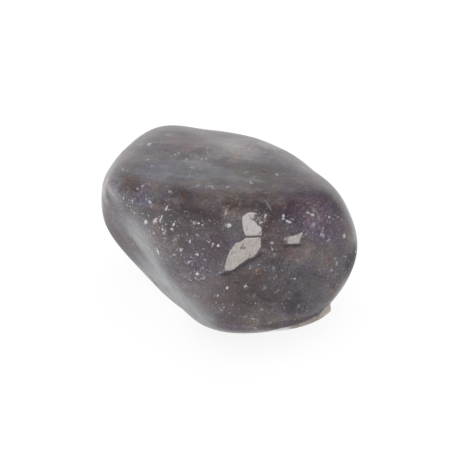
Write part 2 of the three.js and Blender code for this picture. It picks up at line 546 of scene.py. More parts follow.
# By tint and place, each glint: x and y of its pixel, its length and width in pixels, its turn from level
# in degrees and its brightness.
GLINTS = {
    "white": {
        "far corner": [
            (142.4, 186.0, 4.6, 2.2, 25, 0.9), (137.5, 188.7, 2.4, 2.2, 0, 0.7),
            (132.5, 200.7, 2.4, 2.6, 0, 0.6), (150.2, 202.0, 3.6, 2.2, -50, 0.7),
            (166.6, 208.0, 5.0, 2.4, 65, 0.65),
        ],
        "front, left": [
            (145.9, 221.8, 4.6, 3.6, 80, 0.75), (161.0, 218.4, 8.5, 2.2, 62, 0.6),
            (173.8, 224.3, 3.4, 2.2, 60, 0.9), (171.7, 229.0, 2.2, 2.2, 0, 0.75),
            (162.6, 229.5, 2.4, 2.6, 0, 0.85), (165.7, 231.0, 2.2, 2.6, 0, 0.7),
            (153.9, 233.0, 2.0, 2.4, 0, 0.5), (157.9, 251.2, 6.6, 1.7, -75, 0.75),
        ],
        "front, middle": [
            (229.2, 225.6, 3.8, 3.6, 0, 1.0), (198.7, 223.3, 2.4, 2.4, 0, 0.9),
            (190.0, 241.5, 4.2, 2.2, 80, 0.6), (197.6, 254.7, 2.2, 2.8, 0, 0.9),
            (212.8, 244.2, 2.4, 2.4, 0, 0.75), (218.3, 245.5, 2.6, 2.8, 0, 0.9),
        ],
        "front, low": [
            (197.1, 274.1, 3.0, 3.0, 0, 0.95), (227.2, 287.7, 3.4, 2.4, 60, 0.9),
            (217.8, 295.5, 2.4, 2.2, 0, 0.7), (245.3, 286.5, 3.2, 2.4, 40, 0.8),
            (202.9, 267.8, 2.2, 2.0, 0, 0.45), (253.1, 318.8, 4.0, 2.0, 0, 0.35),
        ],
        "violet": [
            (283.4, 215.7, 3.0, 2.8, 0, 1.0), (283.1, 218.6, 3.0, 2.0, 0, 0.7),
            (288.3, 221.5, 5.4, 2.4, -25, 0.9), (292.9, 219.3, 3.0, 1.8, 20, 0.4),
            (308.0, 212.8, 4.2, 2.0, -22, 0.7), (312.8, 215.0, 5.0, 2.8, -25, 0.9),
            (264.8, 217.0, 7.4, 2.6, 60, 0.8), (329.4, 217.2, 2.4, 2.4, 0, 0.75),
            (337.9, 217.0, 2.2, 2.0, 0, 0.5), (344.4, 236.0, 4.8, 3.0, 80, 0.75),
            (328.6, 240.0, 4.6, 1.8, 35, 0.5),
        ],
        "beside the flakes": [
            (271.8, 242.7, 2.6, 3.0, 0, 0.6), (272.4, 249.1, 2.4, 2.4, 0, 0.6),
            (262.4, 251.8, 3.2, 2.2, 40, 0.6), (294.8, 278.9, 3.0, 2.0, -35, 0.55),
            (336.9, 262.7, 3.2, 1.8, 65, 0.5), (331.5, 270.3, 2.4, 2.2, 0, 0.5),
            (355.7, 251.2, 2.6, 2.0, 0, 0.5), (345.6, 256.4, 2.2, 2.0, 0, 0.45),
        ],
        "crown": [
            (149.2, 144.2, 5.4, 2.6, 15, 0.75), (175.2, 154.6, 3.0, 1.8, 20, 0.72),
            (209.5, 186.0, 2.6, 2.0, 0, 0.58), (250.6, 182.0, 4.6, 1.4, 65, 0.72),
            (251.5, 183.2, 4.0, 1.2, -20, 0.58), (277.0, 174.6, 2.4, 3.0, 0, 0.58),
            (178.4, 153.0, 2.6, 1.4, 30, 0.65), (201.8, 158.8, 2.0, 1.8, 0, 0.75),
            (205.8, 158.6, 2.0, 1.8, 0, 0.65), (207.4, 152.2, 2.0, 1.6, 0, 0.58),
            (186.6, 159.4, 3.0, 1.2, 20, 0.51), (191.0, 155.2, 2.4, 1.2, 20, 0.51),
            (192.6, 168.0, 6.0, 1.2, -15, 0.43), (189.6, 175.6, 4.4, 1.2, 75, 0.43),
            (212.6, 187.4, 3.0, 1.8, -35, 0.65), (206.4, 186.6, 2.2, 1.8, 0, 0.51),
            (227.8, 187.0, 3.8, 1.8, 0, 0.51), (246.0, 172.4, 6.5, 1.2, 20, 0.51),
            (148.0, 159.3, 2.0, 1.8, 0, 0.6), (151.7, 165.7, 1.8, 1.8, 0, 0.55),
            (171.4, 156.0, 1.8, 1.6, 0, 0.55), (207.9, 147.9, 1.8, 1.8, 0, 0.5),
            (123.0, 169.3, 2.0, 1.8, 0, 0.6), (127.1, 170.6, 1.8, 1.8, 0, 0.5),
            (149.3, 184.0, 2.2, 1.8, 0, 0.5), (197.9, 185.7, 2.4, 1.6, 0, 0.45),
            (123.6, 197.9, 1.8, 1.8, 0, 0.55),
        ],
    },
    "pink": {
        "front": [
            (155.1, 220.8, 6.8, 3.0, 60, 0.95), (169.8, 191.5, 4.2, 3.6, 0, 0.8),
            (194.2, 222.8, 3.8, 3.6, 0, 0.5), (226.0, 213.0, 6.0, 2.8, 62, 0.65),
            (197.2, 235.0, 3.0, 2.6, 0, 0.4), (203.1, 278.3, 5.0, 3.0, 20, 0.45),
            (223.5, 307.5, 3.0, 2.0, 0, 0.4), (250.6, 268.1, 2.6, 2.2, 0, 0.4),
            (286.4, 238.8, 4.4, 3.6, 0, 0.5),
        ],
        "crown": [
            (268.5, 206.0, 14.0, 1.5, -58, 0.45), (253.5, 177.4, 9.0, 1.3, 20, 0.35),
            (315.0, 205.5, 6.0, 1.4, 20, 0.35),
        ],
    },
    "blue": {
        "front": [
            (181.0, 250.0, 4.8, 2.6, -70, 0.95), (163.8, 233.3, 3.0, 2.6, 0, 0.7),
            (189.2, 262.0, 2.8, 2.4, 0, 0.9), (221.0, 272.6, 5.4, 1.8, 5, 0.5),
            (322.3, 234.4, 4.2, 4.2, 0, 0.7), (196.7, 157.2, 5.0, 2.0, 15, 0.5),
            (277.3, 291.0, 7.0, 1.8, 32, 0.35), (313.0, 225.0, 5.6, 3.4, 38, 0.6),
        ],
    },
    "green": {
        "front": [
            (226.2, 225.4, 3.2, 3.8, 0, 0.8), (175.7, 239.0, 4.0, 4.6, 0, 0.4),
            (264.9, 287.5, 3.4, 3.4, 0, 0.6), (254.0, 295.5, 3.8, 3.6, 0, 0.35),
            (274.1, 268.1, 3.6, 3.4, 0, 0.5), (274.6, 254.6, 4.2, 3.8, 0, 0.6),
            (270.0, 322.6, 3.2, 2.6, 0, 0.6), (314.5, 210.4, 7.0, 4.4, -10, 0.45),
            (190.5, 171.0, 9.0, 1.8, 62, 0.35),
        ],
    },
}
# The glints' colours, mixed in as painted highlights.
TINTS = {
    "white": linear(222, 220, 222),
    "pink": linear(210, 190, 191),
    "blue": linear(180, 188, 202),
    "green": linear(150, 158, 152),
}
glint_table = np.array(
    [
        (*glint, *TINTS[tint][:3])
        for tint, zones in GLINTS.items()
        for zone in zones.values()
        for glint in zone
    ]
)
glint_middles = on_stone(glint_table[:, :2])
glint_halves = glint_table[:, 2:4] / 2 / PIXELS_PER_MM
glint_turns = np.radians(glint_table[:, 4])
glint_brightness = glint_table[:, 5]
glint_tints = glint_table[:, 6:]
near_glint = np.min(np.linalg.norm(surface[:, None] - glint_middles, axis=2), axis=1)
print(len(glint_table), "large glints")

# %% Deal them into layers
GLINT_ROOM = 1.3
GLINT_MARGIN = 0.5
GLINT_DEPTH = 1.0


def dealt(middles, reaches, room):
    """Deals the glints out one by one: each goes in the first layer where none is within the room of it."""
    layers = []
    for index, middle in enumerate(middles):
        for layer in layers:
            gaps = np.linalg.norm(middles[layer] - middle, axis=1) - reaches[layer] - reaches[index]
            if gaps.min() > room:
                layer.append(index)
                break
        else:
            layers.append([index])
    return layers


def layer_fields(layer):
    """For each point the nearest glint of the layer: the point's offset from the glint's middle, along each
    of its axes, divided by its half length there; the glint's tint; its brightness, or 0 far from it."""
    distances = np.linalg.norm(points[:, None] - glint_middles[layer], axis=2) - glint_halves[layer, 0]
    nearest = np.array(layer)[distances.argmin(1)]
    turn = glint_turns[nearest, None]
    along = np.cos(turn) * to_right + np.sin(turn) * to_top
    across = np.cos(turn) * to_top - np.sin(turn) * to_right
    offset = points - glint_middles[nearest]
    local = np.stack([(offset * along).sum(1), (offset * across).sum(1), offset @ to_camera], 1)
    local /= np.column_stack([glint_halves[nearest], np.full(len(points), GLINT_DEPTH)])
    bright = glint_brightness[nearest] * (distances.min(1) < GLINT_MARGIN)
    return {"place": local, "tint": glint_tints[nearest], "bright": bright}


glint_layers = dealt(glint_middles, glint_halves[:, 0], GLINT_ROOM)
print("the glints lie in", len(glint_layers), "layers of", [len(layer) for layer in glint_layers])

# %% [markdown]
# Fields for the finish
# Some things that the finish needs to know aren't distances. Mica lies level in this stone: the crown and
# the belly show the sheets from above, cloudy and calm, and the slopes show their torn ends, full of
# glints. So one field says how level the surface is. Another says where the photo doesn't reach, because
# there the large glints are strewn by chance, and where it does reach they are placed one by one.

# %% Put the stone in a mesh
LEVEL_TILTS = (0.72, 0.95)
FLANK_WINS = (0.96, 1.08)
UNSEEN_FACING = (0.12, -0.12)
FIELDS = {
    "in_flake": in_flake,
    "in_torn": in_torn,
    "near_dark": near_dark,
    "near_thin": near_thin,
    "near_dim": near_dim,
    "rust_lines": rust_lines,
    "on_ledge": on_ledge,
    "near_edge": near_edge,
    "near_glint": near_glint,
    "flank": smooth_step(*FLANK_WINS, flank_wins),
    "level": smooth_step(*LEVEL_TILTS, np.abs(normals[:, 2])),
    "unseen": smooth_step(*UNSEEN_FACING, facing),
}
mesh = bpy.data.meshes.new("polished_stone")
mesh.from_pydata((points * METRES_PER_MM).tolist(), [], quads.tolist())
mesh.polygons.foreach_set("use_smooth", np.ones(len(quads), bool))


def store(name, values):
    """Keeps one number, or one vector, for each point of the mesh."""
    kind, slot = ("FLOAT_VECTOR", "vector") if values.ndim == 2 else ("FLOAT", "value")
    stored = mesh.attributes.new(name, kind, "POINT")
    stored.data.foreach_set(slot, values.astype(np.float32).ravel())


for name, values in FIELDS.items():
    store(name, values)
for index, layer in enumerate(glint_layers):
    for name, values in layer_fields(layer).items():
        store(f"glint_{name}_{index}", values)
mesh.update()
stone = bpy.data.objects.new("polished_stone", mesh)
bpy.context.scene.collection.objects.link(stone)
print("the mesh holds", len(mesh.vertices), "points and the fields", ", ".join(FIELDS))

# %% [markdown]
# Shader maths that reads as maths
# A material is a net of nodes, and a long one is hard to read. Two small classes let the finish be written
# as expressions: one wraps a socket and turns + - * into Math nodes, the other adds any node by its type,
# its settings and the values of its sockets.

# %% Two helpers for materials
NOISE_MIDDLE = 0.5


class Amount:
    """One number over the surface, kept as a socket. Arithmetic on it adds Math nodes."""

    def __init__(self, finish, socket):
        self.finish = finish
        self.socket = socket

    def math(self, operation, first, second):
        return self.finish.node("Math", {"operation": operation}, {0: first, 1: second})

    def __add__(self, other):
        return self.math("ADD", self, other)

    def __radd__(self, other):
        return self.math("ADD", other, self)

    def __sub__(self, other):
        return self.math("SUBTRACT", self, other)

    def __rsub__(self, other):
        return self.math("SUBTRACT", other, self)

    def __mul__(self, other):
        return self.math("MULTIPLY", self, other)

    def __rmul__(self, other):
        return self.math("MULTIPLY", other, self)

    def at_least(self, other):
        return self.math("MAXIMUM", self, other)

    def swing(self, contrast):
        """How far a noise lies from its middle value, times a contrast."""
        return (self - NOISE_MIDDLE) * contrast


class Finish:
    """Builds the nodes of one material, or of the world, one by one."""

    def __init__(self, owner):
        owner.use_nodes = True
        self.owner = owner
        self.tree = owner.node_tree
        self.tree.nodes.clear()

    def node(self, kind, settings=None, inputs=None, output=0):
        made = self.tree.nodes.new("ShaderNode" + kind)
        for name, value in (settings or {}).items():
            setattr(made, name, value)
        for name, value in (inputs or {}).items():
            if isinstance(value, Amount):
                self.tree.links.new(value.socket, made.inputs[name])
            else:
                made.inputs[name].default_value = value
        return Amount(self, made.outputs[output]) if made.outputs else None

    def mix(self, share, first, second):
        """first where share is 0 and second where it is 1, for colours."""
        return self.node("Mix", {"data_type": "RGBA"}, {0: share, 6: first, 7: second}, output=2)

    def vector(self, operation, first, second=(0.0, 0.0, 0.0), output=0):
        return self.node("VectorMath", {"operation": operation}, {0: first, 1: second}, output)

    def distance(self, place, point):
        """How far each place is from one fixed point."""
        return self.vector("DISTANCE", place, tuple(point), output="Value")

    def scaled(self, value, factor):
        """A colour or a vector times a number."""
        return self.node("VectorMath", {"operation": "SCALE"}, {0: value, "Scale": factor})

    def ramp(self, value, low, high, start=0.0, end=1.0):
        """An S-shaped change from start at low to end at high. It stays between the two by itself, and
        its clamp is off, because a clamp is one more node each time and long materials run out of room."""
        settings = {"interpolation_type": "SMOOTHSTEP", "clamp": False}
        inputs = {"Value": value, "From Min": low, "From Max": high, "To Min": start, "To Max": end}
        return self.node("MapRange", settings, inputs)

    def field(self, name, output="Fac"):
        """What the mesh stores under a name."""
        return self.node("Attribute", {"attribute_name": name}, output=output)

    def noise(self, place, scale, detail, roughness, output="Fac"):
        inputs = {"Vector": place, "Scale": scale, "Detail": detail, "Roughness": roughness}
        return self.node("TexNoise", None, inputs, output)

    def parts(self, colour):
        """The three numbers of a colour, each on its own."""
        outputs = self.node("SeparateColor", None, {"Color": colour}).socket.node.outputs
        return [Amount(self, output) for output in outputs]

    def cells(self, place, per_mm):
        """Random cells: the distance from the middle of the cell, and two numbers that each cell draws."""
        inputs = {"Vector": place, "Scale": per_mm}
        away = self.node("TexVoronoi", None, inputs, output="Distance")
        drawn = self.parts(self.node("TexVoronoi", None, inputs, output="Color"))
        return away, drawn[0], drawn[1]


print("a finish can draw on", ", ".join(name for name in vars(Finish) if not name.startswith("_")))

# %% [markdown]
# The rock's colour
# Lepidolite is a felt of tiny violet mica plates with quartz between them, so its colour drifts from violet
# to blue-grey, brown and olive in soft clouds a few millimetres wide. Slow noise makes the drift
# everywhere, and the clouds that the photo shows are laid over it where it shows them, with their edges
# pulled about by another noise. A few of these clouds are not the rock's colour but painted sheen,
# reflection or shade, and their names say so.

# %% Start the finish with the place on the stone
HALF_COLOUR = (NOISE_MIDDLE,) * 3
MICA_TILT = -3
SQUARE = 90
finish = Finish(bpy.data.materials.new("polished_lepidolite"))
place = finish.scaled(finish.node("TexCoord", output="Object"), 1 / METRES_PER_MM)


def along_and_across(along, across):
    """The turn, as angles for a Mapping node, that lays x along one direction and y near another."""
    along = along / np.linalg.norm(along)
    upright = np.cross(along, across)
    upright /= np.linalg.norm(upright)
    turn = np.stack([along, np.cross(upright, along), upright], 1)
    return tuple(Matrix(turn.tolist()).to_euler("XYZ"))


def grain_turn(bearing):
    """The turn of a grain that runs along a bearing and sinks a little on its way."""
    return along_and_across(direction(bearing, MICA_TILT), direction(bearing + SQUARE, 0))


def stretched(middle, turn, lengths):
    """The place counted from a middle along turned axes, each in steps of its own length in mm."""
    inputs = {"Vector": place, "Location": tuple(middle), "Rotation": turn, "Scale": lengths}
    return finish.node("Mapping", {"vector_type": "TEXTURE"}, inputs)


def away_from(pixel):
    """How far (mm) the place is from the point of the stone that shows at a pixel."""
    return finish.distance(place, on_stone([pixel])[0])


def random_push(noise, length):
    """A random step, up to half a length along each axis, from a noise's three numbers."""
    drawn = finish.noise(place, *noise, output="Color")
    return finish.scaled(finish.vector("SUBTRACT", drawn, HALF_COLOUR), length)


print("the finish counts in mm from the frame's origin; the heart is at", HEART)

# %% Drift
# Each noise here and below: how often it changes in a mm, its levels of detail and their roughness.
DRIFT = (0.28, 3.0, 0.55)
HUE = (0.42, 3.0, 0.6)
COOL = (0.2, 3.0, 0.6)
BODY_DARK = linear(78, 70, 76)
BODY_MID = linear(102, 94, 98)
DARK_TO_MID = (0.35, 0.62)
# Each tint: the noise that lays it, its colour, and a ramp. Each ramp here and below: the two values
# between which it changes, and, if they aren't 0 and 1, the amounts that it starts and ends with.
BODY_TINTS = {
    "brown": ("hue", linear(104, 91, 87), (0.52, 0.66, 0.0, 0.7)),
    "violet": ("hue", linear(92, 80, 94), (0.48, 0.34, 0.0, 0.7)),
    "blue": ("cool", linear(98, 100, 110), (0.52, 0.68, 0.0, 0.6)),
}
BEDDING = grain_turn(30)
BEDDING_LENGTHS = (2.2, 1.0, 0.8)

bedding = stretched(HEART, BEDDING, BEDDING_LENGTHS)
colour = finish.mix(finish.ramp(finish.noise(bedding, *DRIFT), *DARK_TO_MID), BODY_DARK, BODY_MID)
laid_by = {"hue": finish.noise(bedding, *HUE), "cool": finish.noise(bedding, *COOL)}
for noise, tint, ramp in BODY_TINTS.values():
    colour = finish.mix(finish.ramp(laid_by[noise], *ramp), colour, tint)
print("the drift is mixed from", len(finish.tree.nodes), "nodes")

# %% Clouds where the photo shows them
# Each cloud: its pixel, its radius in pixels, its colour and how much of it shows.
CLOUDS = {
    "front": ((188, 226), 37, (55, 43, 48), 0.9),
    "front, low": ((224, 296), 26, (90, 77, 79), 0.8),
    "violet, right": ((312, 211), 23, (109, 95, 110), 0.9),
    "blue-violet, right": ((322, 229), 12, (99, 92, 111), 0.8),
    "grey-violet, above the glints": ((302, 198), 11, (112, 98, 107), 0.6),
    "dark violet, beside the glints": ((297, 217), 10, (76, 62, 82), 0.7),
    "darkest violet": ((283, 206), 15, (73, 57, 74), 0.95),
    "violet, lower right": ((331, 236), 17, (102, 92, 105), 0.85),
    "violet, front": ((201, 256), 22, (70, 57, 73), 0.8),
    "maroon, left of the flakes": ((218, 244), 16, (70, 54, 58), 0.8),
    "dark, far corner's front": ((149, 214), 17, (67, 60, 64), 0.85),
    "grey, inside the rubbed edge": ((170, 244), 9, (110, 102, 102), 0.6),
    "dark, near shoulder": ((283, 165), 18, (66, 60, 65), 0.85),
    "dark, end of the near shoulder": ((323, 189), 12, (56, 50, 55), 0.8),
    "grey, foot": ((262, 322), 22, (104, 99, 92), 0.8),
    "blue-grey, right": ((304, 279), 34, (87, 83, 87), 0.9),
    "dark blue": ((294, 304), 13, (54, 54, 66), 0.9),
    "brown": ((247, 289), 24, (68, 52, 50), 0.9),
    "beige brown": ((302, 253), 14, (126, 113, 109), 0.8),
    "olive": ((273, 254), 16, (84, 76, 74), 0.85),
    "brown, far right": ((338, 287), 14, (86, 75, 76), 0.8),
    "blue-grey, far corner": ((140, 196), 12, (100, 96, 113), 0.85),
    "blue-grey, crown": ((158, 170), 24, (103, 103, 118), 0.9),
    "blue-grey, crown middle": ((200, 172), 26, (110, 111, 119), 0.85),
    "pinkish, crown": ((182, 145), 20, (120, 106, 108), 0.8),
    # These two clouds are partly pale rock and partly painted sheen of the glow behind the crown.
    "grey with painted sheen, crown's back": ((240, 151), 22, (161, 158, 155), 0.85),
    "pale beige with painted sheen, crown's edge": ((271, 145), 14, (140, 136, 132), 0.75),
    "brown-grey, crown middle": ((238, 172), 13, (132, 122, 120), 0.6),
    "brownish, crown": ((256, 176), 22, (80, 70, 67), 0.88),
    "violet-brown, crown's right": ((302, 182), 25, (86, 75, 81), 0.85),
    "reddish, crown": ((188, 146), 5, (128, 98, 98), 0.8),
    "brown, crown's left": ((128, 166), 9, (112, 97, 94), 0.75),
    "olive grey, crown's edge": ((241, 197), 20, (137, 125, 119), 0.85),
    "grey, crown's edge": ((206, 190), 19, (127, 118, 121), 0.8),
    "grey, above the far corner": ((158, 183), 18, (127, 123, 127), 0.8),
    "rust at the far corner": ((129, 179), 7, (118, 97, 92), 0.8),
    "grey, above the front": ((180, 186), 9, (122, 114, 116), 0.7),
    "rust above the front": ((153, 205), 5, (98, 76, 70), 0.8),
    "rust on the edge": ((182, 195), 6, (108, 88, 81), 0.85),
    "dark brown beside the flake": ((231, 204), 7, (86, 66, 56), 0.85),
    "orange under the flake": ((257, 271), 5, (120, 92, 82), 0.8),
    # Painted shade: the right rim is darkened where it would reflect more.
    "painted shade, right rim": ((354, 258), 18, (46, 42, 45), 0.9),
    "dark, low middle": ((271, 300), 14, (67, 59, 59), 0.8),
    "maroon, right of the flakes": ((269, 234), 15, (86, 68, 71), 0.8),
    # Painted reflection of the bright tent in the far end.
    "painted reflection, tip of the far corner": ((113, 184), 12, (160, 157, 157), 0.8),
    "grey-brown, right": ((326, 259), 15, (113, 105, 104), 0.8),
    "brown, crown's edge": ((278, 197), 13, (118, 107, 102), 0.8),
    "dark, inside the far corner": ((126, 206), 9, (64, 59, 62), 0.85),
    # Painted reflection of the bright tent in the far end.
    "painted reflection, left end": ((104, 195), 12, (150, 150, 152), 0.7),
    "pale, crown's back left": ((214, 154), 13, (142, 139, 142), 0.75),
    "brown, far corner's edge": ((171, 196), 9, (108, 97, 100), 0.7),
    "dark, upper front": ((250, 205), 14, (80, 68, 66), 0.5),
}
GRAIN = (3.0, 3.0, 0.65)
WANDER = (0.55, 3.0, 0.6)
WANDER_LENGTH = 2.2
# A cloud begins at the first share of its radius and is full at the second.
CLOUD_REACH = (1.3, 0.4)
RAGGED = (0.35, 0.55, 0.85, 1.0)
grain = finish.noise(place, *GRAIN)
wandered = finish.vector("ADD", place, random_push(WANDER, WANDER_LENGTH))
ragged = finish.ramp(grain, *RAGGED)
cloud_middles = on_stone([cloud[0] for cloud in CLOUDS.values()])
for middle, (_, radius, shade, strength) in zip(cloud_middles, CLOUDS.values()):
    outer, inner = (part * radius / PIXELS_PER_MM for part in CLOUD_REACH)
    share = finish.ramp(finish.distance(wandered, middle), outer, inner, 0.0, strength) * ragged
    colour = finish.mix(share, colour, linear(*shade))
print("with", len(CLOUDS), "clouds:", len(finish.tree.nodes), "nodes")

# %% [markdown]
# The felt of mica
# Close up, each plate of mica is a little lighter or darker than the next, and stains of brown and violet a
# millimetre or two wide tint them. Random cells about a third of a millimetre wide give the plates, noise
# gives the quartz between them and the stains, and long drawn noise gives fine hairs and wisps. The felt
# is busy on the front, in the violet patch, at the far corner and where the photo doesn't reach, and it
# is calm elsewhere.

# %% Stains and wisps
WHITE = (1.0, 1.0, 1.0, 1.0)
STAINS = {"brown": (1.12, 0.98, 0.93, 1.0), "violet": (1.0, 0.94, 1.07, 1.0)}
STAIN_NOISE = (0.45, 4.0, 0.55)
STAIN_RISE = (0.5, 0.6)
BLOTCH = (0.5, 4.0, 0.6)
WISPS = (1.0, 4.0, 0.65)
WISP_LENGTHS = (3.6, 1.1, 0.8)
WISP_RISE = (0.52, 0.7)
WISP_GREY = linear(122, 122, 128)
# Like each pair that by_lie gets: the value on the slopes, and the value where the mica lies level.
WISP_SHARE = (0.25, 0.65)
lying = finish.field("level")


def by_lie(pair):
    """Goes from the first of two numbers on the slopes to the second where the mica lies level."""
    steep, level = pair
    return lying * (level - steep) + steep


wisps = finish.noise(stretched(HEART, BEDDING, WISP_LENGTHS), *WISPS)
blotch = finish.noise(place, *BLOTCH)
draws = finish.parts(finish.noise(place, *STAIN_NOISE, output="Color"))
for draw, stain in zip(draws, STAINS.values()):
    tint = finish.mix(finish.ramp(draw, *STAIN_RISE), WHITE, stain)
    colour = finish.vector("MULTIPLY", colour, tint)
colour = finish.mix(finish.ramp(wisps, *WISP_RISE) * by_lie(WISP_SHARE), colour, WISP_GREY)
print("with stains and wisps:", len(finish.tree.nodes), "nodes")

# %% Busy and calm
# Each busy zone: its pixel and its radius in pixels.
BUSY_ZONES = {"front": ((186, 246), 58), "violet": ((306, 220), 34), "far corner": ((142, 204), 24)}
BUSY_CORE = 0.4
CALM = 0.4
unseen = finish.field("unseen")
busy = unseen * (1.0 - CALM) + CALM
for pixel, radius in BUSY_ZONES.values():
    size = radius / PIXELS_PER_MM
    busy = busy.at_least(finish.ramp(away_from(pixel), size, BUSY_CORE * size))
print("the finish is busy in", len(BUSY_ZONES), "zones and where the photo doesn't reach")

# %% Plates, grain and hairs
FLECKS = (6.5, 2.0, 0.6)
HAIRS = (1.0, 2.0, 0.6)
HAIR_WAY = grain_turn(60)
HAIR_LENGTHS = (1.1, 0.16, 0.16)
HAIR_RISE = (0.56, 0.7)
HAIR_SHARE = (0.4, 0.9)
PLATES_PER_MM = 2.6
PLATE_CONTRAST = 0.4
GRAIN_CONTRAST = 1.6
FLECK_CONTRAST = 0.3
BRIGHT_FLECKS = (0.58, 0.72, 0.0, 0.4)
WISP_CONTRAST = (0.4, 1.0)
BLOTCH_CONTRAST = 1.3
CALM_FELT = 0.15
FELT_SHARE = (1.0, 0.75)
FELT_DARKEST = (-0.24, -0.08)
LIGHTER = (-0.05, -0.02)
DARKEST = 0.5
fleck = finish.noise(place, *FLECKS)
hairs = finish.noise(stretched(HEART, HAIR_WAY, HAIR_LENGTHS), *HAIRS)
_, plate_shade, plate_tint = finish.cells(place, PLATES_PER_MM)
felt = plate_shade.swing(PLATE_CONTRAST) + grain.swing(GRAIN_CONTRAST) + fleck.swing(FLECK_CONTRAST)
felt = felt.at_least(by_lie(FELT_DARKEST)) * (busy * (1.0 - CALM_FELT) + CALM_FELT) * by_lie(FELT_SHARE)
felt = felt + finish.ramp(hairs, *HAIR_RISE, 0.0, by_lie(HAIR_SHARE)) + finish.ramp(fleck, *BRIGHT_FLECKS)
cloudy = wisps.swing(by_lie(WISP_CONTRAST)) + blotch.swing(BLOTCH_CONTRAST) + by_lie(LIGHTER)
colour = finish.scaled(colour, (1.0 + felt + cloudy).at_least(DARKEST))
print("with the felt:", len(finish.tree.nodes), "nodes")

# %% [markdown]
# The frosted edge with its painted sheen
# Along the edge between the front and the flank the stones of the barrel have bruised the mica, which
# leaves a frosted grey band. The same pale band is also painted sheen: it stands in for the bright floor
# that this edge reflects. It is strongest low down, where it spreads over the whole foot of the flank. It
# is streaked along the edge: the streaks are noise that is drawn out that way. High up, the flank itself
# is darkened as painted shade.

# %% Along the edge
EDGE_ENDS = [(129, 226), (190, 307)]
edge_start, edge_end = on_stone(EDGE_ENDS)
edge_run = edge_end - edge_start
EDGE = along_and_across(edge_run, to_camera)
STREAKS = (1.0, 4.0, 0.65)
STREAK_LENGTHS = (1.8, 0.5, 0.5)
STRAY = 1.5
streaks = finish.noise(stretched(edge_start, EDGE, STREAK_LENGTHS), *STREAKS)
along_edge = finish.vector("DOT_PRODUCT", place, tuple(edge_run), output="Value")
along_edge = (along_edge - float(edge_start @ edge_run)) * (1 / float(edge_run @ edge_run))
from_edge = finish.field("near_edge") + blotch.swing(STRAY)
print("the rubbed edge is", np.linalg.norm(edge_run).round(1), "mm long")

# %% Frost it, with painted sheen and painted shade
# The parts are shares of the way from the edge's high end to its low end; a crest's ramp begins with two
# distances from the edge in mm.
LOW_PART = (0.1, 0.7)
HIGH_PART = (0.18, -0.22)
FLANK_PAINTED_SHADE = 0.4
CREST = (2.3, 0.2, 0.0, 0.3)
WIDE_CREST = (3.4, 0.6, 0.0, 0.27)
LOW_CREST = (1.8, 0.2, 0.0, 0.1)
HIGH_FADE = 0.9
FOOT = (0.35, 0.6, 0.5, 0.68)
STREAK_RISE = (0.3, 0.7, 0.8, 1.16)
# The frost's colours are partly bruised mica and partly painted sheen of the bright floor.
FROST_AND_SHEEN = linear(170, 173, 174)
PALE_FROST_AND_SHEEN = linear(206, 206, 202)
PALE_STREAKS = (0.6, 0.72, 0.0, 0.6)
PALE_CREST = (1.4, 0.3)
PALE_PART = (0.55, 0.8)
flank = finish.field("flank")
low = finish.ramp(along_edge, *LOW_PART)
high = finish.ramp(along_edge, *HIGH_PART)
# The flank faces down, so it is darkened as painted shade, most towards its high end.
colour = finish.scaled(colour, 1.0 - flank * (1.0 - low) * FLANK_PAINTED_SHADE)
# The frosted band is painted sheen as well, along the edge and over the flank's foot.
frost_and_sheen = (finish.ramp(from_edge, *CREST) + finish.ramp(from_edge, *WIDE_CREST)) * (1.0 - high * HIGH_FADE)
frost_and_sheen = frost_and_sheen.at_least(flank * low * finish.ramp(blotch, *FOOT)) + finish.ramp(from_edge, *LOW_CREST) * low
colour = finish.mix(frost_and_sheen * finish.ramp(streaks, *STREAK_RISE), colour, FROST_AND_SHEEN)
# The pale streaks low on the edge are painted reflection as well as bruised mica.
pale = finish.ramp(streaks, *PALE_STREAKS) * finish.ramp(from_edge, *PALE_CREST)
colour = finish.mix(pale * finish.ramp(along_edge, *PALE_PART), colour, PALE_FROST_AND_SHEEN)
print("with the frosted edge:", len(finish.tree.nodes), "nodes")

# %% [markdown]
# Scattered glints
# Most glints are too tiny to be placed, so cell patterns scatter them, painted highlights like the large
# ones: each cell has one spark at its middle, with a brightness of its own. Stretched cells turn some of
# the sparks into dashes. They come thick in the busy zones and thin elsewhere, and fine painted glints of
# small mica crumbs lie close round the large glints.

# %% Scatter them
SPARK_CORE = 0.4


def sparks(stretch, per_mm, radius, faintest):
    """Bright dots at the middles of random cells: a step down with the distance, times a random share."""
    away, luck, _ = finish.cells(stretch, per_mm)
    return finish.ramp(away, radius, radius * SPARK_CORE) * finish.ramp(luck, faintest, 1.0)


# Each kind: its cells per mm, the radius of a spark in cells, and the draw up to which a cell stays dark.
SPECKS = (2.8, 0.36, 0.12)
DOTS = (1.35, 0.22, 0.3)
DASHES = (1.3, 0.2, 0.3)
LARGE = (0.5, 0.13, 0.45)
CRUMB_GLINTS = (3.2, 0.36, 0.1)
# Each slant: its turn as angles, and how far its cells are drawn out along each turned axis.
SLANTS = {
    "dashes one way": ((0.5, 0.3, 0.9), (2.0, 0.8, 0.8)),
    "dashes another way": ((1.2, -0.4, 2.4), (1.8, 0.8, 0.8)),
}
SPECK_SHARE = 0.55
DOT_SHARE = 0.85
PATCHES = (0.8, 3.0, 0.6)
PATCH_RISE = (0.42, 0.58, 0.3, 1.05)
NEAR_LARGE = (0.9, 0.25, 0.0, 0.75)
CALM_SPARKS = 0.3
SPARK_SHARE = (1.0, 0.55)
WHITE_SHARE = 0.4
dots = sparks(place, *DOTS)
for turn, lengths in SLANTS.values():
    dots = dots.at_least(sparks(stretched(HEART, turn, lengths), *DASHES))
dots = dots.at_least(sparks(place, *LARGE) * unseen)
patchy = finish.ramp(finish.noise(place, *PATCHES), *PATCH_RISE)
scattered = (sparks(place, *SPECKS) * SPECK_SHARE + dots * DOT_SHARE) * patchy
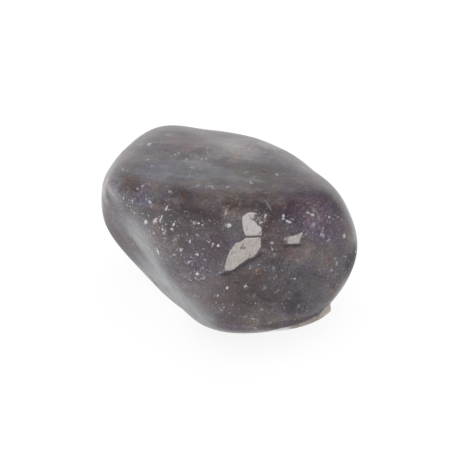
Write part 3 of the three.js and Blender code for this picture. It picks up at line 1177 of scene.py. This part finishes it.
scattered = scattered * (busy * (1.0 - CALM_SPARKS) + CALM_SPARKS) * by_lie(SPARK_SHARE)
crumb_glints = sparks(place, *CRUMB_GLINTS) * finish.ramp(finish.field("near_glint"), *NEAR_LARGE)
tinted = finish.mix(plate_tint, TINTS["pink"], TINTS["blue"])
# The sparks are painted highlights mixed into the colour.
colour = finish.mix(scattered.at_least(crumb_glints), colour, finish.mix(WHITE_SHARE, tinted, TINTS["white"]))
print("with scattered glints:", len(finish.tree.nodes), "nodes")

# %% Lay the large glints over them
FRAY = (5.0, 2.0, 0.6)
FRAY_LENGTH = 2.2
GLINT_EDGE = (1.2, 0.5)
fray = random_push(FRAY, FRAY_LENGTH)
# Each large glint is a painted highlight: inside its ellipse its tint takes the place of the colour.
for layer in range(len(glint_layers)):
    frayed = finish.vector("ADD", finish.field(f"glint_place_{layer}", "Vector"), fray)
    away = finish.vector("LENGTH", frayed, output="Value")
    spot = finish.ramp(away, *GLINT_EDGE) * finish.field(f"glint_bright_{layer}")
    colour = finish.mix(spot, colour, finish.field(f"glint_tint_{layer}", "Vector"))
print("with the large glints:", len(finish.tree.nodes), "nodes")

# %% [markdown]
# Pale flakes, dark lines and the ledge
# Where the mica has cleaved flat it is pale pink and pearly, with dark specks where it is torn. The pale
# colour is partly the mica's own and partly painted reflection of the flat cleavage faces. The dark lines
# beside the flakes are painted shadow and shade in the grooves and steps at their edges. The ledge's rim
# is white at its left end as painted light from the floor, where it faces down. The outlines come from the
# fields stored in the mesh, and a little noise frays them.

# %% The flakes
# The flakes' colours are partly the mica's own and partly painted reflection of the flat cleavage faces.
PALE_FLAKE_AND_REFLECTION = linear(198, 190, 187)
DULLER_FLAKE_AND_REFLECTION = linear(180, 172, 169)
UPPER_FLAKE_AND_REFLECTION = linear(214, 208, 205)
SPECK = linear(94, 85, 86)
FLAKE_GRAIN = (0.38, 0.6)
UPPER_PIXEL = (250, 224)
UPPER_REACH = (2.2, 1.4, 0.0, 0.7)
SPECKLES_RIGHT = 0.45
SPECKLES_UP = 0.9
SPECKLE_WAY = along_and_across(SPECKLES_RIGHT * to_right + SPECKLES_UP * to_top, to_camera)
SPECKLE_LENGTHS = (0.9, 0.32, 0.32)
SPECKLES = (1.0, 3.0, 0.65)
SPECKLE_RISE = (0.6, 0.67, 0.0, 0.8)
FLAKE_FRAY = 0.2
EDGE_RISE = (-0.03, 0.05)
flake = finish.ramp(finish.field("in_flake") + fleck.swing(FLAKE_FRAY), *EDGE_RISE)
speckled = finish.noise(stretched(HEART, SPECKLE_WAY, SPECKLE_LENGTHS), *SPECKLES)
flake_and_reflection_colour = finish.mix(finish.ramp(grain, *FLAKE_GRAIN), DULLER_FLAKE_AND_REFLECTION, PALE_FLAKE_AND_REFLECTION)
flake_and_reflection_colour = finish.mix(finish.ramp(away_from(UPPER_PIXEL), *UPPER_REACH), flake_and_reflection_colour, UPPER_FLAKE_AND_REFLECTION)
flake_and_reflection_colour = finish.mix(finish.ramp(speckled, *SPECKLE_RISE), flake_and_reflection_colour, SPECK)
print("with the flakes' colour:", len(finish.tree.nodes), "nodes")

# %% Gaps, flakes and the torn patch, one over the other
PAINTED_SHADE_DARK = linear(62, 52, 52)
TORN_DARK = linear(84, 74, 76)
LINE_FRAY = 0.3
DIM = (0.5, 0.05, 0.0, 0.55)
DARK = (0.36, 0.08, 0.0, 0.8)
THIN = (0.13, 0.04, 0.0, 0.7)
TORN_FRAY = 0.6
TORN_EDGE = (-0.05, 0.1, 0.0, 0.8)
CRUMBLY = (3.4, 3.0, 0.7)
CRUMBLY_RISE = (0.5, 0.6)
torn_colour = finish.mix(finish.ramp(finish.noise(place, *CRUMBLY), *CRUMBLY_RISE), TORN_DARK, UPPER_FLAKE_AND_REFLECTION)
line_fray = fleck.swing(LINE_FRAY)
torn = finish.field("in_torn") + fleck.swing(TORN_FRAY)
# The dim and dark lines lay painted shade and shadow over the rock.
OVERLAYS = {
    "dim lines": (finish.ramp(finish.field("near_dim") + line_fray, *DIM), PAINTED_SHADE_DARK),
    "dark lines": (finish.ramp(finish.field("near_dark") + line_fray, *DARK), PAINTED_SHADE_DARK),
    "flakes": (flake, flake_and_reflection_colour),
    "torn patch": (finish.ramp(torn, *TORN_EDGE), torn_colour),
    "thin lines": (finish.ramp(finish.field("near_thin"), *THIN), SPECK),
}
for share, shade in OVERLAYS.values():
    colour = finish.mix(share, colour, shade)
print("laid over the rock:", ", ".join(OVERLAYS))

# %% The ledge and the rust
LEDGE = linear(176, 166, 158)
LEDGE_SHADE = linear(134, 125, 119)
# The white at the rim's left end is painted light: that part faces down to the bright floor.
# Each end of the ledge: its pixel, how far its colour reaches, and the colour.
LEDGE_ENDS = {
    "white, left": ((276, 330.5), (2.4, 1.2, 0.0, 0.75), linear(226, 226, 224)),
    "pale, tip": ((328, 308), (2.2, 0.8, 0.0, 0.7), linear(206, 196, 187)),
}
LEDGE_FRAY = 0.15
LEDGE_GRAIN = 0.6
LEDGE_RISE = (0.42, 0.6)
RUST = linear(98, 62, 52)
RUST_SHARE = 0.9
rim = finish.ramp(finish.field("on_ledge") + fleck.swing(LEDGE_FRAY), *EDGE_RISE)
streaky = grain * LEDGE_GRAIN + speckled * (1.0 - LEDGE_GRAIN)
ledge_colour = finish.mix(finish.ramp(streaky, *LEDGE_RISE), LEDGE_SHADE, LEDGE)
for pixel, ramp, shade in LEDGE_ENDS.values():
    ledge_colour = finish.mix(finish.ramp(away_from(pixel), *ramp), ledge_colour, shade)
colour = finish.mix(rim, colour, ledge_colour)
colour = finish.mix(finish.field("rust_lines") * RUST_SHARE, colour, RUST)
print("with the ledge:", len(finish.tree.nodes), "nodes")

# %% [markdown]
# Polish
# The rock is polished but not flawless: the gloss is a little broken by the grain, the flakes are pearly
# and duller, the frosted flank and the right rim are duller too, and the broken ledge is matt. Roughness
# and a very small bump carry this.

# %% Join it all in the shader
POLISH = 0.3
GRAIN_DULLS = 0.3
FLAKE_DULLS = 0.2
LEDGE_DULLS = 0.3
FLANK_DULLS = 0.3
RIM_PIXEL = (352, 262)
RIM_DULLS = (3.2, 1.0, 0.0, 0.35)
ROCK_IOR = 1.52
BUMP_STRENGTH = 0.25
BUMP_HEIGHT = 0.03 * METRES_PER_MM
BUMP_SHARE = 0.5
roughness = POLISH + grain.swing(GRAIN_DULLS) + flake * FLAKE_DULLS + rim * LEDGE_DULLS
roughness = roughness + flank * FLANK_DULLS + finish.ramp(away_from(RIM_PIXEL), *RIM_DULLS)
height = grain * BUMP_SHARE + fleck * BUMP_SHARE + speckled * flake
bump = finish.node("Bump", None, {"Strength": BUMP_STRENGTH, "Distance": BUMP_HEIGHT, "Height": height})
polished = {"Base Color": colour, "Roughness": roughness, "Normal": bump, "IOR": ROCK_IOR}
finish.node("OutputMaterial", None, {"Surface": finish.node("BsdfPrincipled", None, polished)})
mesh.materials.append(finish.owner)
print("the finish has", len(finish.tree.nodes), "nodes")

# %% Put the stone in the frame
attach(stone, "root")
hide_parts(SOLID)
print(stone.name, "stands for", SOLID)

# %% [markdown]
# Floor and light
# The photo is lit as in a light tent: white all round, a broad soft glow low behind, a dim side where the
# camera stands, and bright paper far to the left, which shines in the rubbed edge. The stone throws hardly
# any shadow. A lamp would make one, so there is none: the sky is the tent, and the plain pale floor shines
# a little by itself, more to the far left.

# %% The floor
FLOOR_SIDE = 4.0
FLOOR_ALBEDO = 0.35
FLOOR_ROUGHNESS = 0.9
FLOOR_GLOW = 0.84
FLOOR_GLOW_LEFT = 2.3
FLOOR_GLOW_BEARING = -125
FLOOR_GLOW_RISE = (18.0, 55.0)
half = FLOOR_SIDE / 2
floor_mesh = bpy.data.meshes.new("floor")
corners = [(-half, -half, 0), (half, -half, 0), (half, half, 0), (-half, half, 0)]
floor_mesh.from_pydata(corners, [], [(0, 1, 2, 3)])
floor = bpy.data.objects.new("floor", floor_mesh)
bpy.context.scene.collection.objects.link(floor)
white = Finish(bpy.data.materials.new("white_floor"))
floor_place = white.node("TexCoord", output="Object")
left_way = tuple(direction(FLOOR_GLOW_BEARING, 0))
leftwards = white.vector("DOT_PRODUCT", floor_place, left_way, output="Value") * (1 / METRES_PER_MM)
paper = {
    "Base Color": (FLOOR_ALBEDO, FLOOR_ALBEDO, FLOOR_ALBEDO, 1.0),
    "Roughness": FLOOR_ROUGHNESS,
    "Specular IOR Level": 0.0,
    "Emission Color": white.ramp(leftwards, *FLOOR_GLOW_RISE, FLOOR_GLOW, FLOOR_GLOW_LEFT),
    "Emission Strength": 1.0,
}
white.node("OutputMaterial", None, {"Surface": white.node("BsdfPrincipled", None, paper)})
floor_mesh.materials.append(white.owner)
print("the floor is", FLOOR_SIDE, "m wide and glows from", FLOOR_GLOW, "to", FLOOR_GLOW_LEFT)

# %% The tent
TENT_DIM = 0.5
BACK_GLOW = 1.15
BACK_BEARING = 125
BACK_TILTS = (0.85, 0.1)
BACK_SPREAD = (0.15, 0.9)
world = bpy.data.worlds.new("tent")
bpy.context.scene.world = world
tent = Finish(world)
way = tent.node("TexCoord", output="Generated")
height_of_way = tent.node("SeparateXYZ", None, {"Vector": way}, output="Z")
to_back = tent.vector("DOT_PRODUCT", way, tuple(direction(BACK_BEARING, 0)), output="Value")
glow = tent.ramp(height_of_way, *BACK_TILTS) * tent.ramp(to_back, *BACK_SPREAD) * BACK_GLOW
sky = tent.node("Background", None, {"Color": WHITE, "Strength": glow + TENT_DIM})
tent.node("OutputWorld", None, {"Surface": sky})
bpy.context.scene.view_settings.view_transform = "Standard"
print("the tent shines with", TENT_DIM, "all round and", BACK_GLOW, "more low at the back")
